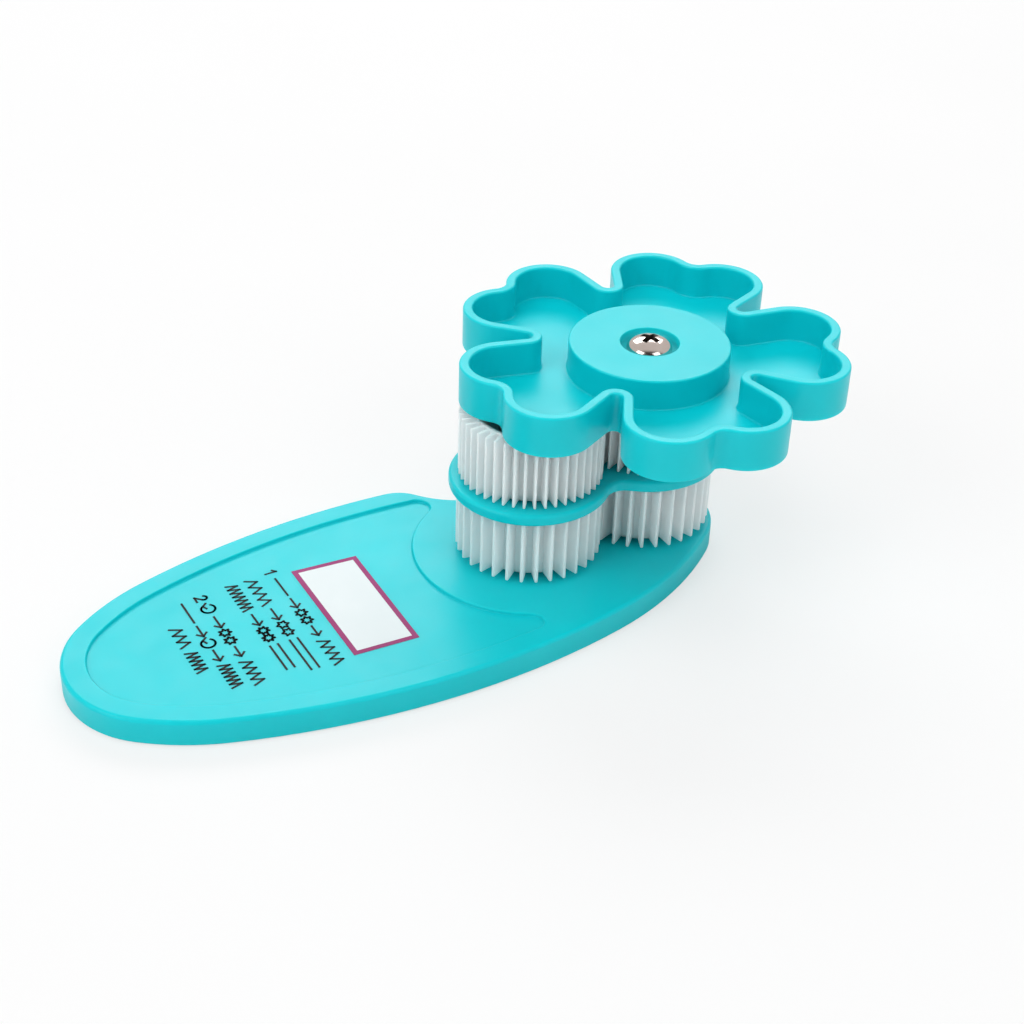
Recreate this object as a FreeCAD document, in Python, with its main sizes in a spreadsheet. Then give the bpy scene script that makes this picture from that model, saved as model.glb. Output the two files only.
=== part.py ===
import FreeCAD, Part
import math
import os
import Sketcher

from FreeCAD import Placement, Rotation, Vector

# Paper crimper: an oval base carries two pairs of toothed rollers, a coarse pair below and a fine pair
# above, with a flat plate between them.  A flower shaped hand knob turns the driven pair; the other
# pair runs loose on a fixed axle.  Millimetres, Z up, the table at Z = 0.  Plan positions below are
# measured from the idler axle, the driven axle lies along +X from it.

doc = FreeCAD.newDocument("paper_crimper")
sheet = doc.addObject("Spreadsheet::Sheet", "sizes")

SIZES = [
    # frame and base
    ("axle_distance", 19.8),
    ("foot_proud", 0.3),
    ("base_top", 4.2),
    ("base_edge_bevel", 0.95),
    ("base_edge_soft", 0.3),
    ("base_wall", 2.0),
    ("base_skin", 2.0),
    ("base_left", 72.6),
    ("base_right", 31.5),
    ("base_half_width", 23.1),
    ("side_fullness", 0.975),
    ("left_tip_fullness", 1.43),
    ("left_shoulder_fullness", 0.875),
    ("right_tip_fullness", 1.19),
    ("right_shoulder_fullness", 1.505),
    ("bay_half_width", 14.4),
    ("bay_corner_radius", 6.0),
    ("bay_sweep_radius", 15.0),
    ("bay_corner_x", -13.5),
    ("panel_border", 3.6),
    ("panel_depth", 0.5),
    ("panel_end_radius", 17.6),
    ("panel_near_horn", 1.8),
    ("panel_far_horn", 2.2),
    ("rib_thickness", 1.2),
    ("rib_clear", 0.5),
    ("rib_end_inset", 22.1),
    ("rib_pitch", 15.0),
    ("rib_before_axle", 8.5),
    ("room_clear", 0.2),
    ("room_wall", 1.4),
    ("foot_diameter", 8.0),
    ("foot_clear", 0.9),
    ("foot_end_inset", 12.1),
    # rollers
    ("running_clearance", 0.06),
    ("thrust_gap", 0.1),
    ("face_gap", 0.3),
    ("thrust_thickness", 0.5),
    ("thrust_diameter", 12.0),
    ("washer_clearance", 0.16),
    ("roller_height", 10.4),
    ("roller_sink_diameter", 16.0),
    ("roller_sink_depth", 3.0),
    ("coarse_teeth", 31),
    ("coarse_tip_radius", 11.0),
    ("coarse_land", 0.22),
    ("coarse_root_half", 0.55),
    ("fine_teeth", 43),
    ("fine_tip_radius", 10.8),
    ("fine_land", 0.18),
    ("fine_root_half", 0.35),
    ("root_relief", 0.35),
    # separator plate
    ("plate_thickness", 1.9),
    ("plate_lobe_radius", 12.2),
    ("plate_neck_round", 3.0),
    ("plate_edge_bevel", 0.5),
    # idler axle
    ("axle_diameter", 7.0),
    ("axle_stub_diameter", 4.4),
    ("axle_flange_diameter", 11.0),
    ("axle_flange_thickness", 1.2),
    ("axle_hole_depth", 7.0),
    ("axle_end_gap", 0.2),
    ("screw_end_room", 1.0),
    ("screw_clearance", 0.2),
    ("idler_washer_diameter", 9.6),
    ("idler_washer_thickness", 0.6),
    ("idler_screw_diameter", 2.6),
    ("idler_head_diameter", 5.4),
    ("idler_head_height", 1.7),
    ("idler_head_slope", 0.5),
    ("idler_cross_width", 0.8),
    ("idler_cross_span", 2.8),
    ("idler_cross_depth", 0.9),
    # driven shaft
    ("journal_diameter", 6.0),
    ("hex_across_flats", 6.0),
    ("bush_diameter", 9.0),
    ("bush_flange_diameter", 12.0),
    ("bush_flange_thickness", 0.6),
    ("clip_thickness", 0.5),
    ("clip_diameter", 9.4),
    ("clip_groove_diameter", 4.6),
    ("shaft_end", 0.4),
    ("shaft_end_bevel", 0.3),
    ("plate_shaft_clearance", 0.4),
    # flower knob
    ("knob_clearance", 0.55),
    ("knob_height", 6.3),
    ("knob_floor", 1.05),
    ("petal_wall", 1.5),
    ("petal_crest_bevel", 0.4),
    ("lobe_centre_out", 22.4),
    ("lobe_centre_side", 5.5),
    ("lobe_radius", 5.9),
    ("heart_radius", 3.0),
    ("notch_centre_out", 18.45),
    ("notch_radius", 1.75),
    ("petal_angle", 41.87),
    ("hub_radius", 12.07),
    ("hub_drop", 0.5),
    ("hub_edge_bevel", 0.3),
    ("hub_skin", 1.6),
    ("hub_core_outer", 10.4),
    ("hub_boss_radius", 5.8),
    ("hub_rib", 1.2),
    ("knob_web", 1.5),
    ("counterbore_radius", 4.4),
    ("head_proud", 0.75),
    ("knob_screw_diameter", 3.0),
    ("shaft_hole_depth", 10.0),
    ("knob_head_diameter", 6.8),
    ("knob_head_height", 2.2),
    ("knob_head_slope", 1.0),
    ("knob_cross_width", 1.0),
    ("knob_cross_span", 2.8),
    ("knob_cross_depth", 1.3),
]

# The oval is drawn with arcs: a fullness of 1 gives the side and the tips the radii of an ellipse, and
# the shoulders between them the geometric mean
DERIVED = [
    ("base_half_length", "=(base_left + base_right) / 2"),
    ("base_side_radius", "=side_fullness * base_half_length ^ 2 / base_half_width"),
    ("left_tip_radius", "=left_tip_fullness * base_half_width ^ 2 / base_half_length"),
    ("left_shoulder_radius", "=left_shoulder_fullness * sqrt(base_side_radius * left_tip_radius)"),
    ("right_tip_radius", "=right_tip_fullness * base_half_width ^ 2 / base_half_length"),
    ("right_shoulder_radius", "=right_shoulder_fullness * sqrt(base_side_radius * right_tip_radius)"),
    ("base_thickness", "=base_top - foot_proud"),
    ("skin_underside", "=base_top - base_skin"),
    ("cavity_depth", "=skin_underside - foot_proud"),
    ("rib_bottom", "=foot_proud + rib_clear"),
    ("rib_height", "=skin_underside - rib_bottom"),
    ("foot_height", "=skin_underside"),
    ("coarse_bottom", "=base_top + thrust_thickness + thrust_gap"),
    ("plate_bottom", "=coarse_bottom + roller_height + face_gap"),
    ("plate_top", "=plate_bottom + plate_thickness"),
    ("fine_bottom", "=plate_top + face_gap"),
    ("fine_top", "=fine_bottom + roller_height"),
    ("roller_bore", "=axle_diameter + 2 * running_clearance"),
    ("idler_stack_top", "=fine_top - roller_sink_depth + thrust_gap"),
    ("axle_top", "=idler_stack_top - axle_end_gap"),
    ("sleeve_height", "=idler_stack_top - plate_top"),
    ("bush_bore", "=journal_diameter + 2 * running_clearance"),
    ("bush_bottom", "=skin_underside - bush_flange_thickness"),
    ("clip_top", "=bush_bottom - thrust_gap"),
    ("knob_bottom", "=fine_top + knob_clearance"),
    ("knob_top", "=knob_bottom + knob_height"),
    ("knob_floor_top", "=knob_bottom + knob_floor"),
    ("hub_top", "=knob_top - hub_drop"),
    ("counterbore_floor", "=hub_top + head_proud - knob_head_height"),
    ("shaft_top", "=counterbore_floor - knob_web"),
]

for row, (alias, value) in enumerate(SIZES + DERIVED, 1):
    sheet.set("A%d" % row, alias)
    sheet.set("B%d" % row, str(value))
    sheet.setAlias("B%d" % row, alias)
doc.recompute()


def size(alias):
    return float(sheet.get(alias))


AXIS_Z = Vector(0, 0, 1)
PETALS = 5
PETAL_STEP = 360.0 / PETALS


# Shared geometry helpers

def polar(radius, degrees, centre=(0.0, 0.0)):
    angle = math.radians(degrees)
    return Vector(centre[0] + radius * math.cos(angle), centre[1] + radius * math.sin(angle), 0)


def heading(vector):
    return math.degrees(math.atan2(vector.y, vector.x))


def arc(centre, radius, start, end):
    """Arc drawn anticlockwise from start to end degrees."""
    while end <= start:
        end += 360.0
    circle = Part.Circle(Vector(centre[0], centre[1], 0), AXIS_Z, radius)
    return Part.ArcOfCircle(circle, math.radians(start), math.radians(end))


def line(first, last):
    return Part.LineSegment(Vector(first[0], first[1], 0), Vector(last[0], last[1], 0))


def polygon(points):
    return [line(points[i - 1], points[i]) for i in range(len(points))]


def rectangle(x0, y0, x1, y1):
    return polygon([(x0, y0), (x1, y0), (x1, y1), (x0, y1)])


def turned(geometry, degrees):
    """Copy of some sketch geometry turned about the sketch origin."""
    spin = FreeCAD.Matrix()
    spin.rotateZ(math.radians(degrees))
    copies = [item.copy() for item in geometry]
    for item in copies:
        item.transform(spin)
    return copies


def circle(radius, centre=(0.0, 0.0)):
    return Part.Circle(Vector(centre[0], centre[1], 0), AXIS_Z, radius)


# Shared feature helpers

def new_body(label, x="", y="", z=""):
    body = doc.addObject("PartDesign::Body", label)
    body.Label = label
    for axis, expression in (("x", x), ("y", y), ("z", z)):
        if expression:
            body.setExpression("Placement.Base." + axis, expression)
    return body


def sketch(body, name, geometry, plane="XY_Plane", lift=""):
    item = body.newObject("Sketcher::SketchObject", name)
    support = [f for f in body.Origin.OriginFeatures if f.Role == plane][0]
    item.AttachmentSupport = [(support, "")]
    item.MapMode = "FlatFace"
    if lift:
        item.setExpression("AttachmentOffset.Base.z", lift)
    item.addGeometry(geometry, False)
    return item


def circle_sketch(body, name, diameter, centre=(0.0, 0.0), lift=""):
    """Sketch of one circle whose diameter is bound to a sheet expression."""
    item = sketch(body, name, [circle(1.0, centre)], lift=lift)
    number = item.addConstraint(Sketcher.Constraint("Diameter", 0, 2.0))
    item.setExpression("Constraints[%d]" % number, diameter)
    return item


def pad(body, name, profile, length, down=False):
    item = body.newObject("PartDesign::Pad", name)
    item.Profile = profile
    item.setExpression("Length", length)
    item.Reversed = down
    profile.Visibility = False
    return item


def pocket(body, name, profile, length="", up=False):
    """Cut downward by a length, upward when up is set, or right through without a length."""
    item = body.newObject("PartDesign::Pocket", name)
    item.Profile = profile
    if length:
        item.setExpression("Length", length)
        item.Reversed = up
    else:
        item.Type = "ThroughAll"
        item.Midplane = True
    profile.Visibility = False
    return item


def revolve(body, name, points):
    """Solid of revolution about Z from (radius, height) corners."""
    profile = sketch(body, name + "_profile", polygon(points), plane="XZ_Plane")
    item = body.newObject("PartDesign::Revolution", name)
    item.Profile = profile
    item.ReferenceAxis = (profile, ["V_Axis"])
    item.Angle = 360.0
    profile.Visibility = False
    return item


def ring_pattern(body, name, feature, profile, count):
    item = body.newObject("PartDesign::PolarPattern", name)
    item.Originals = [feature]
    item.Axis = (profile, ["N_Axis"])
    item.Angle = 360.0
    body.Tip = item
    item.setExpression("Occurrences", count)
    return item


def bevel_edges(body, name, width, wanted):
    """Chamfer on every edge of the tip shape that the test function wants."""
    doc.recompute()
    base = body.Tip
    names = ["Edge%d" % (i + 1) for i, edge in enumerate(base.Shape.Edges) if wanted(edge)]
    item = body.newObject("PartDesign::Chamfer", name)
    item.Base = (base, names)
    item.setExpression("Size", width)
    return item


def level(height):
    """Test for edges that lie wholly at one height of the body's own frame."""
    def test(edge):
        box = edge.BoundBox
        return abs(box.ZMin - height) < 1e-4 and abs(box.ZMax - height) < 1e-4
    return test


# Plan outlines: chains of arcs walked anticlockwise, each (centre, radius, first and last direction of
# the outward normal), with a negative radius where the outline is hollow

def chain(arcs, inset=0.0):
    """Sketch geometry of a closed chain moved inward by the inset; gaps close with straight lines."""
    geometry = []
    ends = []
    for centre, radius, first, last in arcs:
        moved = radius - inset
        ends.append((centre + polar(moved, first), centre + polar(moved, last)))
        if radius > 0:
            geometry.append(arc(centre, moved, first, last))
        else:
            geometry.append(arc(centre, -moved, last + 180, first + 180))
    for i, (start, _) in enumerate(ends):
        before = ends[i - 1][1]
        if (start - before).Length > 1e-6:
            geometry.append(line(before, start))
    return geometry


def meeting(first, first_radius, second, second_radius, side):
    """Point at given distances from two centres, left or right (side 1 or -1) of the line between."""
    gap = second - first
    along = (first_radius ** 2 - second_radius ** 2 + gap.Length ** 2) / (2 * gap.Length)
    across = math.sqrt(first_radius ** 2 - along ** 2)
    unit = gap / gap.Length
    return first + unit * along + Vector(-unit.y, unit.x, 0) * (side * across)


def oval_centres():
    """Centres of the side, shoulder and tip arcs of the far half, left and right."""
    middle = (size("base_right") - size("base_left")) / 2
    side = Vector(middle, size("base_half_width") - size("base_side_radius"), 0)
    centres = {"side": side}
    for end, sense in (("left", -1), ("right", 1)):
        tip_radius = size(end + "_tip_radius")
        shoulder = size(end + "_shoulder_radius")
        tip = Vector(sense * (size("base_" + end) - tip_radius), 0, 0)
        centres[end + "_tip"] = tip
        centres[end + "_shoulder"] = meeting(side, size("base_side_radius") - shoulder,
                                             tip, shoulder - tip_radius, sense)
    return centres


def mirrored(arcs):
    return [(Vector(c.x, -c.y, 0), r, -last, -first) for c, r, first, last in reversed(arcs)]


def far_left_arcs(start):
    """Far half of the oval from a normal direction on the side arc to the left tip."""
    c = oval_centres()
    shoulder = heading(c["left_shoulder"] - c["side"]) % 360
    tip = heading(c["left_tip"] - c["left_shoulder"]) % 360
    return [(c["side"], size("base_side_radius"), start, shoulder),
            (c["left_shoulder"], size("left_shoulder_radius"), shoulder, tip),
            (c["left_tip"], size("left_tip_radius"), tip, 180.0)]


def far_right_arcs(end=None):
    """Far half of the oval from the right tip to the side arc, or to a direction on the shoulder."""
    c = oval_centres()
    tip = heading(c["right_tip"] - c["right_shoulder"])
    side = heading(c["right_shoulder"] - c["side"])
    return [(c["right_tip"], size("right_tip_radius"), 0.0, tip),
            (c["right_shoulder"], size("right_shoulder_radius"), tip, side if end is None else end)]


def base_outline():
    """Oval with a bay on the far side, where the paper is led to the rollers."""
    c = oval_centres()
    corner = size("bay_corner_radius")
    sweep = size("bay_sweep_radius")
    bay = size("bay_half_width")
    near = far_right_arcs() + far_left_arcs(heading(c["right_shoulder"] - c["side"]))
    reach = size("right_shoulder_radius") - corner
    drop = bay - corner - c["right_shoulder"].y
    right = c["right_shoulder"] + Vector(math.sqrt(reach ** 2 - drop ** 2), drop, 0)
    reach = size("base_side_radius") - corner
    run = size("bay_corner_x") - c["side"].x
    left = c["side"] + Vector(run, math.sqrt(reach ** 2 - run ** 2), 0)
    drop = bay + sweep - left.y
    hollow = left + Vector(math.sqrt((corner + sweep) ** 2 - drop ** 2), drop, 0)
    right_turn = heading(right - c["right_shoulder"])
    left_turn = heading(left - c["side"])
    step = heading(hollow - left)
    far = far_right_arcs(right_turn) + [
        (right, corner, right_turn, 90.0),
        (hollow, -sweep, 90.0, step),
        (left, corner, step, left_turn),
    ] + far_left_arcs(left_turn)
    return far + mirrored(near)


def plan_limits(arcs, x):
    """Lowest and highest Y of a closed outline on the line at x."""
    edges = [item.toShape() for item in chain(arcs)]
    face = Part.Face(Part.Wire(Part.__sortEdges__(edges)))
    across = Part.LineSegment(Vector(x, -100, 0), Vector(x, 100, 0)).toShape()
    box = face.common(across).BoundBox
    return box.YMin, box.YMax


def panel_outline():
    """Sunk panel: keeps its border from the oval and ends in an arc round the rollers."""
    border = size("panel_border")
    end = size("panel_end_radius")
    side = oval_centres()["side"]
    axle = Vector(0, 0, 0)
    near_side = Vector(side.x, -side.y, 0)
    horns = []
    for name, centre, sense in (("far", side, 1), ("near", near_side, -1)):
        horn = size("panel_%s_horn" % name)
        reach = size("base_side_radius") - border - horn
        horns.append((meeting(centre, reach, axle, end + horn, sense), horn, centre))
    (far, far_horn, _), (near, near_horn, _) = horns
    left = far_left_arcs(heading(far - side))
    left_near = mirrored(far_left_arcs(-heading(near - near_side)))
    arcs = [(c, r - border, first, last) for c, r, first, last in left + left_near]
    return arcs + [
        (near, near_horn, heading(near - near_side), heading(axle - near)),
        (axle, -end, heading(axle - near), heading(axle - far)),
        (far, far_horn, heading(axle - far), heading(far - side)),
    ]


def flower_outline(offset):
    """Five two-lobed petals; offset moves the middle line of the wall outward."""
    out = size("lobe_centre_out")
    side = size("lobe_centre_side")
    lobe = size("lobe_radius")
    heart = size("heart_radius")
    notch = size("notch_radius")
    half_step = math.radians(PETAL_STEP / 2)
    notch_centre = Vector(size("notch_centre_out") * math.cos(half_step),
                          size("notch_centre_out") * math.sin(half_step), 0)
    lobe_centre = Vector(out, side, 0)
    heart_centre = out + math.sqrt((lobe + heart) ** 2 - side ** 2)
    heart_turn = math.degrees(math.atan2(side, heart_centre - out))
    gap = lobe_centre - notch_centre
    normal_turn = heading(gap) + 90 + math.degrees(math.asin((lobe + notch) / gap.Length))
    lobe_end = lobe_centre + polar(lobe + offset, normal_turn)
    notch_start = notch_centre - polar(notch - offset, normal_turn)
    mirror_lobe = (lobe_end.x, -lobe_end.y)
    mirror_notch = (notch_start.x, -notch_start.y)
    petal = [
        line(mirror_notch, mirror_lobe),
        arc((out, -side), lobe + offset, -normal_turn, heart_turn),
        arc((heart_centre, 0), heart - offset, 180 - heart_turn, 180 + heart_turn),
        arc((out, side), lobe + offset, -heart_turn, normal_turn),
        line((lobe_end.x, lobe_end.y), (notch_start.x, notch_start.y)),
        arc((notch_centre.x, notch_centre.y), notch - offset,
            PETAL_STEP - normal_turn + 180, normal_turn + 180),
    ]
    geometry = []
    for k in range(PETALS):
        geometry += turned(petal, size("petal_angle") + PETAL_STEP * k)
    return geometry


def knob_reach(degrees):
    """Greatest reach of the petals from the driven axle in one direction."""
    far = math.hypot(size("lobe_centre_out"), size("lobe_centre_side"))
    lean = math.degrees(math.atan2(size("lobe_centre_side"), size("lobe_centre_out")))
    turns = [size("petal_angle") + PETAL_STEP * k + s * lean for k in range(PETALS) for s in (-1, 1)]
    best = max(far * math.cos(math.radians(t - degrees)) for t in turns)
    return best + size("lobe_radius") + size("petal_wall") / 2


# Where everything stands: the origin is the middle of the plan bounding box, on the table

sheet.set("A200", "idler_x")
sheet.set("B200", "=(base_left - axle_distance - %.4f) / 2" % knob_reach(0))
sheet.setAlias("B200", "idler_x")
sheet.set("A201", "drive_x")
sheet.set("B201", "=idler_x + axle_distance")
sheet.setAlias("B201", "drive_x")
sheet.set("A202", "axis_y")
sheet.set("B202", "=%.4f" % ((knob_reach(270) - knob_reach(90)) / 2))
sheet.setAlias("B202", "axis_y")
doc.recompute()


def idler_body(label, height=""):
    return new_body(label, "sizes.idler_x", "sizes.axis_y", height)


def drive_body(label, height=""):
    return new_body(label, "sizes.drive_x", "sizes.axis_y", height)


# Base moulding: rounded oval slab, sunk panel, hollow ribbed underside

def foot_places():
    """Centres of the foot pads: three pairs, each pad the same distance inside the outline."""
    outline = base_outline()
    inset = size("base_wall") + size("foot_clear") + size("foot_diameter") / 2
    middle = (size("base_right") - size("base_left")) / 2
    places = []
    for x in (size("foot_end_inset") - size("base_left"), middle, size("axle_distance") / 2):
        low, high = plan_limits(outline, x)
        places += [(x, high - inset), (x, low + inset)]
    return places


def rib_places():
    """Cross ribs: two towards the label end and one before the rollers."""
    first = size("rib_end_inset") - size("base_left")
    return first, first + size("rib_pitch"), -size("rib_before_axle")


def base_moulding():
    body = idler_body("base_moulding")
    outline = base_outline()
    distance = size("axle_distance")
    slab = sketch(body, "outline", chain(outline), lift="sizes.foot_proud")
    pad(body, "slab", slab, "sizes.base_thickness")
    bevel_edges(body, "top_bevel", "sizes.base_edge_bevel", level(size("base_top")))
    shoulder = size("base_top") - size("base_edge_bevel")
    bevel_edges(body, "top_soft", "sizes.base_edge_soft", lambda edge: (
        level(size("base_top"))(edge) or level(shoulder)(edge)))
    panel = sketch(body, "panel_outline", chain(panel_outline()), lift="sizes.base_top")
    pocket(body, "panel", panel, "sizes.panel_depth")
    hollow = sketch(body, "hollow_outline", chain(outline, size("base_wall")), lift="sizes.foot_proud")
    pocket(body, "hollow", hollow, "sizes.cavity_depth", up=True)

    half = size("rib_thickness") / 2
    bury = size("base_wall") / 2
    spine = sketch(body, "spine_outline",
                   rectangle(bury - size("base_left"), -half, size("base_right") - bury, half),
                   lift="sizes.rib_bottom")
    pad(body, "spine", spine, "sizes.rib_height")
    cross = []
    for x in rib_places():
        low, high = plan_limits(outline, x)
        cross += rectangle(x - half, low + bury, x + half, high - bury)
    ribs = sketch(body, "cross_rib_outline", cross, lift="sizes.rib_bottom")
    pad(body, "cross_ribs", ribs, "sizes.rib_height")

    axle_room = size("axle_flange_diameter") / 2 + size("room_clear")
    bush_room = size("bush_flange_diameter") / 2 + size("room_clear")
    wall = size("room_wall")
    walls = sketch(body, "room_wall_outline",
                   [circle(axle_room + wall), circle(bush_room + wall, (distance, 0))],
                   lift="sizes.rib_bottom")
    pad(body, "room_walls", walls, "sizes.rib_height")
    rooms = sketch(body, "room_outline", [circle(axle_room), circle(bush_room, (distance, 0))],
                   lift="sizes.foot_proud")
    pocket(body, "rooms", rooms, "sizes.cavity_depth", up=True)
    pocket(body, "idler_bore", circle_sketch(body, "idler_bore_outline", "sizes.axle_diameter"))
    pocket(body, "bush_bore", circle_sketch(body, "bush_bore_outline", "sizes.bush_diameter", (distance, 0)))


def foot_pads():
    for number, (x, y) in enumerate(foot_places(), 1):
        body = new_body("foot_pad_%d" % number, "sizes.idler_x + %.4f" % x, "sizes.axis_y + %.4f" % y)
        pad(body, "disc", circle_sketch(body, "disc_outline", "sizes.foot_diameter"), "sizes.foot_height")


# Fixed idler axle and what is clamped on it

def idler_axle():
    body = idler_body("idler_axle")
    flange = size("axle_flange_diameter") / 2
    shank = size("axle_diameter") / 2
    stub = size("axle_stub_diameter") / 2
    under = size("skin_underside")
    low = under - size("axle_flange_thickness")
    shoulder = size("plate_bottom")
    top = size("axle_top")
    revolve(body, "turned", [(0, low), (flange, low), (flange, under), (shank, under), (shank, shoulder),
                             (stub, shoulder), (stub, top), (0, top)])
    hole = circle_sketch(body, "hole_outline", "sizes.idler_screw_diameter", lift="sizes.axle_top")
    pocket(body, "hole", hole, "sizes.axle_hole_depth")


def separator_plate():
    body = idler_body("separator_plate", "sizes.plate_bottom")
    distance = size("axle_distance")
    lobe = size("plate_lobe_radius")
    neck = size("plate_neck_round")
    half = distance / 2
    rise = math.sqrt((lobe + neck) ** 2 - half ** 2)
    turn = math.degrees(math.atan2(rise, half))
    outline = sketch(body, "outline", [
        arc((0, 0), lobe, turn, 360 - turn),
        arc((half, -rise), neck, turn, 180 - turn),
        arc((distance, 0), lobe, 180 + turn, 180 - turn),
        arc((half, rise), neck, 180 + turn, 360 - turn),
    ])
    pad(body, "slab", outline, "sizes.plate_thickness")
    bevel_edges(body, "edge_bevel", "sizes.plate_edge_bevel", lambda edge: abs(edge.BoundBox.ZLength) < 1e-4)
    pocket(body, "idler_hole", circle_sketch(body, "idler_hole_outline", "sizes.axle_stub_diameter"))
    pocket(body, "drive_hole", circle_sketch(
        body, "drive_hole_outline", "sizes.hex_across_flats / cos(30deg) + 2 * sizes.plate_shaft_clearance",
        (distance, 0)))


def idler_sleeve():
    body = idler_body("idler_sleeve", "sizes.plate_top")
    pad(body, "tube", circle_sketch(body, "outside", "sizes.axle_diameter"), "sizes.sleeve_height")
    pocket(body, "bore", circle_sketch(body, "inside", "sizes.axle_stub_diameter"))


def idler_washer():
    body = idler_body("idler_washer", "sizes.idler_stack_top")
    pad(body, "disc", circle_sketch(body, "outside", "sizes.idler_washer_diameter"),
        "sizes.idler_washer_thickness")
    pocket(body, "hole", circle_sketch(body, "inside", "sizes.idler_screw_diameter"))


def cross_recess(body, sort):
    half = size(sort + "_cross_width") / 2
    arm = size(sort + "_cross_span") / 2
    for name, x, y in (("cross_a", arm, half), ("cross_b", half, arm)):
        outline = sketch(body, name + "_outline", rectangle(-x, -y, x, y), lift="sizes.%s_head_height" % sort)
        pocket(body, name, outline, "sizes.%s_cross_depth" % sort)


def screw(label, body_maker, height, sort, length):
    """Plain shank and pan head with a cross recess."""
    body = body_maker(label, height)
    shank = size(sort + "_screw_diameter") / 2
    head = size(sort + "_head_diameter") / 2
    high = size(sort + "_head_height")
    slope = size(sort + "_head_slope")
    revolve(body, "turned", [(0, -length), (shank, -length), (shank, 0), (head, 0), (head, high - slope),
                             (head - 2 * slope, high), (0, high)])
    cross_recess(body, sort)


def thrust_washer(label, body_maker, bore):
    body = body_maker(label, "sizes.base_top")
    pad(body, "disc", circle_sketch(body, "outside", "sizes.thrust_diameter"), "sizes.thrust_thickness")
    pocket(body, "hole", circle_sketch(body, "inside", bore))


# Toothed rollers

def toothed_outline(teeth, tip, land, root_half, phase):
    """Straight flanked teeth: each has a flat land at the tip and widens to twice the root half."""
    root = size("axle_distance") - tip - size("root_relief")
    tooth = [(root, -root_half), (tip, -land / 2), (tip, land / 2), (root, root_half)]
    points = []
    for k in range(teeth):
        turn = math.radians(phase + 360.0 * k / teeth)
        points += [(x * math.cos(turn) - y * math.sin(turn), x * math.sin(turn) + y * math.cos(turn))
                   for x, y in tooth]
    return polygon(points)


def roller(label, body_maker, height, kind, phase):
    body = body_maker(label, height)
    outline = toothed_outline(int(size(kind + "_teeth")), size(kind + "_tip_radius"), size(kind + "_land"),
                              size(kind + "_root_half"), phase)
    pad(body, "teeth", sketch(body, "toothed_outline", outline), "sizes.roller_height")
    return body


def idler_roller(label, height, kind, phase):
    body = roller(label, idler_body, height, kind, phase)
    pocket(body, "bore", circle_sketch(body, "bore_outline", "sizes.roller_bore"))
    return body


def upper_idler_roller():
    """Its top is sunk round the axle, for the washer and the screw head."""
    body = idler_roller("upper_idler_roller", "sizes.fine_bottom", "fine", FINE_PHASE)
    sink = circle_sketch(body, "sink_outline", "sizes.roller_sink_diameter", lift="sizes.roller_height")
    pocket(body, "sink", sink, "sizes.roller_sink_depth")


def drive_roller(label, height, kind, phase):
    body = roller(label, drive_body, height, kind, 180.0 - phase - 180.0 / int(size(kind + "_teeth")))
    hex_hole(body, "hex_bore", "")


def hex_points(across, turn=0.0):
    corner = across / 2 / math.cos(math.radians(30))
    return [(corner * math.cos(math.radians(turn + 60 * k)), corner * math.sin(math.radians(turn + 60 * k)))
            for k in range(6)]


def hex_hole(body, name, depth, up=False, lift=""):
    outline = sketch(body, name + "_outline", polygon(hex_points(size("hex_across_flats"))), lift=lift)
    pocket(body, name, outline, depth, up=up)


# Driven shaft, its bush and its clip

def drive_bush():
    body = drive_body("drive_bush", "sizes.bush_bottom")
    flange = size("bush_flange_diameter") / 2
    outer = size("bush_diameter") / 2
    bore = size("bush_bore") / 2
    thick = size("bush_flange_thickness")
    tall = size("base_top") - size("bush_bottom")
    revolve(body, "turned", [(bore, 0), (flange, 0), (flange, thick), (outer, thick), (outer, tall),
                             (bore, tall)])


def drive_shaft():
    body = drive_body("drive_shaft")
    journal = size("journal_diameter") / 2
    groove = size("clip_groove_diameter") / 2
    end = size("shaft_end")
    bevel = size("shaft_end_bevel")
    high = size("clip_top")
    low = high - size("clip_thickness")
    seat = size("coarse_bottom")
    revolve(body, "journal", [(0, end), (journal - bevel, end), (journal, end + bevel), (journal, low),
                              (groove, low), (groove, high), (journal, high), (journal, seat), (0, seat)])
    bar = sketch(body, "hex_outline", polygon(hex_points(size("hex_across_flats"))), lift="sizes.coarse_bottom")
    pad(body, "hex_bar", bar, "sizes.shaft_top - sizes.coarse_bottom")
    hole = circle_sketch(body, "hole_outline", "sizes.knob_screw_diameter", lift="sizes.shaft_top")
    pocket(body, "hole", hole, "sizes.shaft_hole_depth")


def drive_clip():
    """Open retaining ring sprung into the groove at the foot of the shaft."""
    body = drive_body("drive_clip", "sizes.clip_top - sizes.clip_thickness")
    outer = size("clip_diameter") / 2
    inner = size("clip_groove_diameter") / 2
    mouth = 42.0
    ear = 28.0
    outline = sketch(body, "outline", [
        arc((0, 0), outer, 90 + ear, 90 - ear),
        line(polar(outer, 90 + ear), polar(inner, 90 + mouth)),
        arc((0, 0), inner, 90 + mouth, 90 - mouth),
        line(polar(inner, 90 - mouth), polar(outer, 90 - ear)),
    ])
    pad(body, "ring", outline, "sizes.clip_thickness")


# Flower shaped hand knob

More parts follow.
